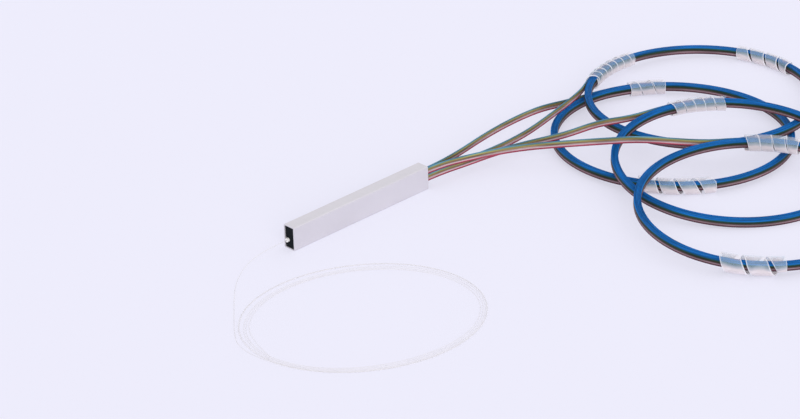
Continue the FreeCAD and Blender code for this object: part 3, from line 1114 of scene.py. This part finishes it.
    def build(self, material: bpy.types.Material, wrap_material: bpy.types.Material) -> bpy.types.Object:
        """The strip stands on edge: its width lies along the upright direction, made square to the
        line, and that direction eases from straight up to the coil's own axis before the join.

        Args:
            material: the ribbon's finish.
            wrap_material: the wraps' finish.

        Returns:
            The ribbon.
        """
        line, lead = self.line()
        ahead = unit(np.gradient(line, axis=0))
        along = np.concatenate([[0.0], np.cumsum(np.linalg.norm(np.diff(line, axis=0), axis=1))])
        joined = along[min(lead * self.samples, len(along) - 1)]
        share = smoothstep((along - joined + self.leaning) / self.leaning)[:, None]
        up = (1 - share) * np.array([0.0, 0.0, 1.0]) + share * self.ring.normal
        up = unit(up - (up * ahead).sum(axis=1, keepdims=True) * ahead)
        side = np.cross(ahead, up)
        place, proud = self.section()
        points = line[:, None] + place[None, :, None] * up[:, None] + proud[None, :, None] * side[:, None]
        uv = np.stack(np.broadcast_arrays(along[:, None], place[None, :] / self.width + 0.5), axis=-1)
        name = f"ribbon_{self.number}"
        piece = grid_piece(name, points, uv, material)
        # Share of the painted shaded fibre colours along the strip, 0 on the lead and 1 in the turns
        wound = smoothstep((along - joined + self.closing) / self.closing)
        layer = piece.data.attributes.new(WOUND_SHADE, "FLOAT", "POINT")
        layer.data.foreach_set("value", np.repeat(wound, len(place)))
        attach(piece, BODY)
        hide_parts(f"{name}_lead", f"{name}_coil")
        strips = [wrap.build(self.number, self.ring, wrap_material) for wrap in self.wraps]
        log.info("%s: %.3f m, %d faces, %d wraps", name, along[-1], len(piece.data.polygons), len(strips))
        return piece


@dataclass
class InputFibre:
    """The clear coated fibre, from the sleeve to its loose loop.

    Attributes:
        free: points of the lead after its first straight run.
        join: angle round the loop where the lead runs into it.
        turns: of the loop.
        diameter: of the fibre.
        declared: the diameter that it is declared with. Not used.
        straight_out: first straight run of the lead.
        inset: how far inside the two ovals the turns lie.
        outer_centre: plan centre of the loop's outer oval.
        outer_half: its half-axes.
        inner_centre: plan centre of the loop's inner oval.
        inner_half: its half-axes.
        long_axis: direction of both long half-axes.
        stagger: step inwards of the last turn where the ovals come close together.
        steady: share of the way inwards that the turns take evenly.
        shift: share that they take at once, halfway through.
        shift_start: where that begins, as a share of the length.
        shift_length: how long it lasts, as a share of the length.
        late: share that only the last turns take.
        sway: share by which the turns wander.
        sway_rate: waves of that in one turn.
        rise: how much higher the turns lie than the lead.
        winding: which way the turns go.
        points_per_turn: control points in one turn.
        samples: points read from each stretch of the line.
    """

    free: list[Point]
    join: float = 174.0
    turns: int = 5
    diameter: float = 0.00025
    declared: float = 0.0003
    straight_out: float = 0.0041
    inset: float = 0.0002
    outer_centre: Plan = (-0.0373, -0.0416)
    outer_half: Plan = (0.0333, 0.0281)
    inner_centre: Plan = (-0.0379, -0.0431)
    inner_half: Plan = (0.0326, 0.0261)
    long_axis: float = -22.2
    stagger: float = 0.0026
    steady: float = 0.25
    shift: float = 0.50
    shift_start: float = 0.42
    shift_length: float = 0.14
    late: float = 0.20
    sway: float = 0.05
    sway_rate: float = 1.4
    rise: float = 0.0002
    winding: Winding = Winding.COUNTERCLOCKWISE
    points_per_turn: int = 16
    samples: int = 6

    def __post_init__(self) -> None:
        """Read where the fibre leaves the sleeve."""
        low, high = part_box("input_sleeve")
        self.exit = np.array([low.x, (low.y + high.y) / 2, (low.z + high.z) / 2])

    def oval(self, centre: Plan, half: Plan, angle: np.ndarray) -> np.ndarray:
        """Find plan points on one of the loop's ovals.

        The reach is divided by the cosine of half a step, because the smooth line passes inside
        its control points by that much.

        Args:
            centre: the oval's plan centre.
            half: its half-axes.
            angle: angles in radians.

        Returns:
            One plan point for each angle.
        """
        reach = oval_reach(half[0] - self.inset, half[1] - self.inset, self.long_axis, angle)
        reach /= math.cos(math.pi / self.points_per_turn)
        return np.array(centre) + reach[:, None] * np.column_stack([np.cos(angle), np.sin(angle)])

    def route(self) -> np.ndarray:
        """Control points of the whole fibre.

        Each turn lies between the loop's outer and inner oval. The first turns keep to the outer
        one and the last turns to the inner one, with a smooth change between them and a small
        sway, so that the turns differ in size and fan out at the back. Where the two ovals come
        close together, the later turns step inwards by the stagger instead.

        Returns:
            The control points, from the sleeve's mouth to the fibre's free end.
        """
        gone = np.linspace(0.0, 2 * math.pi * self.turns, self.points_per_turn * self.turns + 1)
        angle = math.radians(self.join) + self.winding.value * gone
        depth = gone / gone[-1]
        share = self.steady * depth + self.shift * smoothstep((depth - self.shift_start) / self.shift_length)
        share += self.late * depth**4 + self.sway * np.sin(self.sway_rate * gone) * depth
        share = np.clip(share, 0.0, 1.0)[:, None]
        outer = self.oval(self.outer_centre, self.outer_half, angle)
        inner = self.oval(self.inner_centre, self.inner_half, angle)
        apart = np.linalg.norm(outer - inner, axis=1, keepdims=True)
        step = self.stagger * depth[:, None] ** 2 * (1 - smoothstep(apart / (2 * self.stagger)))
        plan = (1 - share) * outer + share * inner - step * unit(outer - self.outer_centre)
        wound = np.column_stack([plan, self.free[-1][2] + self.rise * smoothstep(2 * depth)])
        first_corner = self.exit - (self.straight_out, 0.0, 0.0)
        return np.vstack([self.exit, first_corner, *map(np.array, self.free), wound])

    def build(self, material: bpy.types.Material) -> bpy.types.Object:
        """Args:
            material: the fibre's finish.

        Returns:
            The fibre.
        """
        route = self.route()
        curve = smooth_curve("input_fibre", route, self.samples)
        curve.bevel_depth = self.diameter / 2
        curve.bevel_resolution = 1
        curve.use_fill_caps = True
        curve.materials.append(material)
        piece = place_in_scene("input_fibre", curve)
        line = smooth_line(route, self.samples)
        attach(piece, BODY)
        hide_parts("input_fibre_lead", "input_fibre_loop")
        return piece


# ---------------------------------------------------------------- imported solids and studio


@dataclass
class PackedFinishes:
    """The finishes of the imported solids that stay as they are."""

    groups: Groups

    def ribbon_end(self, row: Row, node: str) -> RibbonEndFinish:
        """Fit the eight colours to a row of the ribbons inside the tube.

        Args:
            row: the row.
            node: a ribbon of that row, whose height is read.

        Returns:
            The finish.
        """
        low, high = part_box(node)
        return RibbonEndFinish(row, low.z, high.z - low.z)

    def worn(self) -> dict[Finish, list[str]]:
        """Choose the finish of each solid of the tube, the glass assembly and the inner fibres.

        Returns:
            The nodes that wear each finish.
        """
        return {
            MetalFinish(): ["housing_tube"],
            PlasticFinish("black_resin", dark=(0.004, 0.006, 0.008), light=(0.008, 0.011, 0.013),
                          smooth=0.55, rough=0.75, shine=0.08):
                ["input_plug", "output_plug"],
            PlasticFinish("white_sleeve", dark=(0.82, 0.82, 0.80), light=(0.92, 0.92, 0.91),
                          smooth=0.30, rough=0.45):
                ["input_sleeve"],
            GlassFinish("chip_glass", tint=(0.72, 0.82, 0.82), smooth=0.04, rough=0.14):
                ["splitter_chip"],
            GlassFinish("array_glass", tint=(0.82, 0.90, 0.90), smooth=0.10, rough=0.30):
                ["chip_input_cover", "chip_output_cover", "input_array_block", "input_array_lid",
                 "output_array_block", "output_array_lid"],
            PlasticFinish("clear_adhesive", dark=(0.90, 0.86, 0.74), light=(0.96, 0.94, 0.88),
                          smooth=0.08, rough=0.25, alpha=0.55):
                ["input_joint", "output_joint", "input_fibre_bond", "ribbon_bond"],
            PlasticFinish("silicone", dark=(0.66, 0.67, 0.68), light=(0.80, 0.80, 0.80),
                          smooth=0.5, rough=0.7):
                ["silicone_bed"],
            PlasticFinish("fibre_tail", dark=(0.84, 0.82, 0.76), light=(0.93, 0.92, 0.88),
                          smooth=0.15, rough=0.3):
                ["input_fibre_tail"],
            GlassFinish("bare_glass", tint=(0.88, 0.93, 0.93), smooth=0.03, rough=0.10):
                ["fibre_fan"],
            self.ribbon_end(Row.UPPER, "ribbon_1_inner_end"): ["ribbon_1_inner_end", "ribbon_4_inner_end"],
            self.ribbon_end(Row.LOWER, "ribbon_2_inner_end"): ["ribbon_2_inner_end", "ribbon_3_inner_end"],
        }

    def dress(self) -> None:
        """Give each of these solids its finish."""
        worn = self.worn()
        for finish, nodes in worn.items():
            material = finish.material(self.groups)
            for node in nodes:
                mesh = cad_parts[node].data
                mesh.materials.clear()
                mesh.materials.append(material)
        log.info("packed solids dressed: %d", sum(map(len, worn.values())))


@dataclass(frozen=True)
class Viewpoint:
    """The camera, aimed beside the tube's middle.

    Attributes:
        azimuth: direction that it stands in, from the tube's front.
        elevation: its height over the horizon.
        roll: how far it is turned about its line of sight.
        distance: from the point that it is aimed at.
        aim_right: how far that point lies to the right of the tube's middle.
        aim_up: how far it lies above it.
        lens: focal length, in millimetres.
        sensor: width of the sensor, in millimetres.
    """

    azimuth: float = -43.0
    elevation: float = 27.3
    roll: float = -1.9
    distance: float = 0.9789
    aim_right: float = 0.01163
    aim_up: float = -0.00090
    lens: float = 162.1
    sensor: float = 36.0

    def make(self) -> bpy.types.Object:
        """Place the camera on its line of sight, rolled about it.

        Returns:
            The camera.
        """
        low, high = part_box("housing_tube")
        turn, rise, roll = map(math.radians, (self.azimuth, self.elevation, self.roll))
        back = Vector((math.sin(turn) * math.cos(rise), -math.cos(turn) * math.cos(rise), math.sin(rise)))
        level = Vector((math.cos(turn), math.sin(turn), 0.0))
        above = back.cross(level)
        right = math.cos(roll) * level + math.sin(roll) * above
        up = math.cos(roll) * above - math.sin(roll) * level
        data = bpy.data.cameras.new("camera")
        data.lens = self.lens
        data.sensor_width = self.sensor
        camera = place_in_scene("camera", data)
        eye = (low + high) / 2 + self.aim_right * right + self.aim_up * up + self.distance * back
        camera.matrix_world = Matrix.Translation(eye) @ Matrix((right, up, back)).transposed().to_4x4()
        bpy.context.scene.camera = camera
        return camera


@dataclass(frozen=True)
class Studio:
    """A pale floor and soft light.

    Attributes:
        reach: how far the floor runs to each side.
        sky: strength of the light from all round.
        backdrop: its strength where it is seen directly.
        sky_colour: its colour.
        sun: strength of the lamp.
        sun_colour: its colour.
        sun_angle: how wide it is.
        sun_direction: the way that its light goes.
    """

    reach: float = 4.0
    sky: float = 0.88
    backdrop: float = 0.95
    sky_colour: Colour = (0.97, 0.97, 1.0)
    sun: float = 1.25
    sun_colour: Colour = (1.0, 0.95, 0.92)
    sun_angle: float = 40.0
    sun_direction: Point = (0.5, 0.9, -0.45)

    def floor(self, groups: Groups) -> bpy.types.Object:
        """Lay the floor at the height of the lowest point.

        Args:
            groups: the shared node groups.

        Returns:
            The floor.
        """
        ways = ((-1, -1), (1, -1), (1, 1), (-1, 1))
        corners = [(x * self.reach, y * self.reach, CAD_BOX[0].z) for x, y in ways]
        mesh = bpy.data.meshes.new("floor")
        mesh.from_pydata(corners, [], [range(len(corners))])
        mesh.materials.append(FloorFinish().material(groups))
        floor = place_in_scene("floor", mesh)
        return floor

    def light(self) -> bpy.types.Object:
        """Light from all round, and a wide soft lamp from above and in front.

        Returns:
            The lamp.
        """
        world = bpy.data.worlds.new("studio")
        bpy.context.scene.world = world
        world.use_nodes = True
        tree = Tree(world.node_tree)
        backdrop = world.node_tree.nodes["Background"]
        tree.feed(backdrop.inputs["Strength"], tree.remap(tree.seen_directly(), self.sky, self.backdrop))
        tree.feed(backdrop.inputs["Color"], (*self.sky_colour, 1.0))
        data = bpy.data.lights.new("lamp", "SUN")
        data.energy = self.sun
        data.color = self.sun_colour
        data.angle = math.radians(self.sun_angle)
        lamp = place_in_scene("lamp", data)
        lamp.rotation_mode = "QUATERNION"
        lamp.rotation_quaternion = Vector(self.sun_direction).to_track_quat("-Z", "Y")
        return lamp


def ribbons() -> list[Ribbon]:
    """Set out the four ribbons.

    Returns:
        The ribbons, with their listed leads and their wraps.
    """
    return [
        Ribbon(
            1, oval=0.0011, long_axis=111.5, join=82.0, lift=0.0004,
            free=[(0.0405, 0.0012, 0.00457), (0.051, 0.0034, 0.0044), (0.061, 0.0050, 0.0041),
                  (0.070, 0.0058, 0.0038), (0.0785, 0.0058, 0.0034)],
            wraps=[
                SpiralWrap("a", first=64.8, last=45.8, outer=0.0021, pitch=0.0042, share=0.985, phase=-0.3),
                SpiralWrap("b", first=243.0, last=204.3, outer=0.00225, pitch=0.0054, share=0.8, phase=0.1)
            ]),
        Ribbon(
            2, oval=0.0016, long_axis=33.8, join=120.0, lift=0.0016,
            free=[(0.041, -0.0005, 0.00243), (0.051, -0.0021, 0.0028), (0.062, -0.0030, 0.00375),
                  (0.0745, -0.0008, 0.00415)],
            wraps=[
                SpiralWrap("a", first=117.5, last=78.8, outer=0.0021, pitch=0.0033, share=0.985),
                SpiralWrap("b", first=24.0, last=-7.5, outer=0.0021, pitch=0.0053, share=0.84, phase=-0.45)
            ]),
        Ribbon(
            3, oval=0.0016, long_axis=139.0, join=82.0, lift=0.0001,
            free=[(0.041, -0.0018, 0.00243), (0.0495, -0.0044, 0.0034), (0.058, -0.0093, 0.0047),
                  (0.067, -0.0141, 0.0055), (0.075, -0.0191, 0.0080)],
            wraps=[
                SpiralWrap("a", first=77.0, last=45.3, outer=0.00205, pitch=0.00325, share=0.985, phase=0.19),
                SpiralWrap("b", first=-16.0, last=-40.0, outer=0.00205, pitch=0.0034, share=0.93)
            ]),
        Ribbon(
            4, oval=0.0009, long_axis=154.7, join=52.0, lift=0.0002, loosest=0.0004,
            free=[(0.040, -0.0029, 0.0046), (0.048, -0.0063, 0.0047), (0.0555, -0.0107, 0.0049),
                  (0.062, -0.0191, 0.0063), (0.067, -0.0323, 0.0099), (0.074, -0.0376, 0.0096)],
            wraps=[
                SpiralWrap("a", first=49.0, last=22.0, outer=0.0023, pitch=0.0039, share=0.96, phase=0.34),
                SpiralWrap("b", first=232.5, last=201.5, outer=0.00255, pitch=0.0069, share=0.82, phase=0.45,
                           tip=0.0024)
            ]),
    ]


def input_fibre() -> InputFibre:
    """Set out the input fibre.

    Returns:
        The fibre, with its listed lead.
    """
    return InputFibre([(-0.0336, 0.0013, 0.0019), (-0.0386, 0.0012, 0.0009), (-0.0438, -0.0011, 0.0003),
                       (-0.0492, -0.0052, 0.00015), (-0.0546, -0.0109, 0.00015), (-0.0602, -0.0172, 0.00015),
                       (-0.0658, -0.0236, 0.00015), (-0.0700, -0.0296, 0.00015)])


def main() -> None:
    """Build the view, the cords, the finishes and the studio, in that order."""
    logging.basicConfig(level=logging.INFO, format="%(message)s")
    Viewpoint().make()
    groups = Groups()
    ribbon_material = RibbonFinish().material(groups)
    wrap_material = WrapFinish().material(groups)
    for ribbon in ribbons():
        ribbon.build(ribbon_material, wrap_material)
    clear = PlasticFinish("clear_fibre", dark=(0.68, 0.64, 0.58), light=(0.78, 0.75, 0.70),
                          smooth=0.25, rough=0.4, alpha=0.14)
    input_fibre().build(clear.material(groups))
    PackedFinishes(groups).dress()
    studio = Studio()
    studio.floor(groups)
    studio.light()
    bpy.context.scene.view_settings.view_transform = "Standard"


if __name__ == "__main__":
    main()
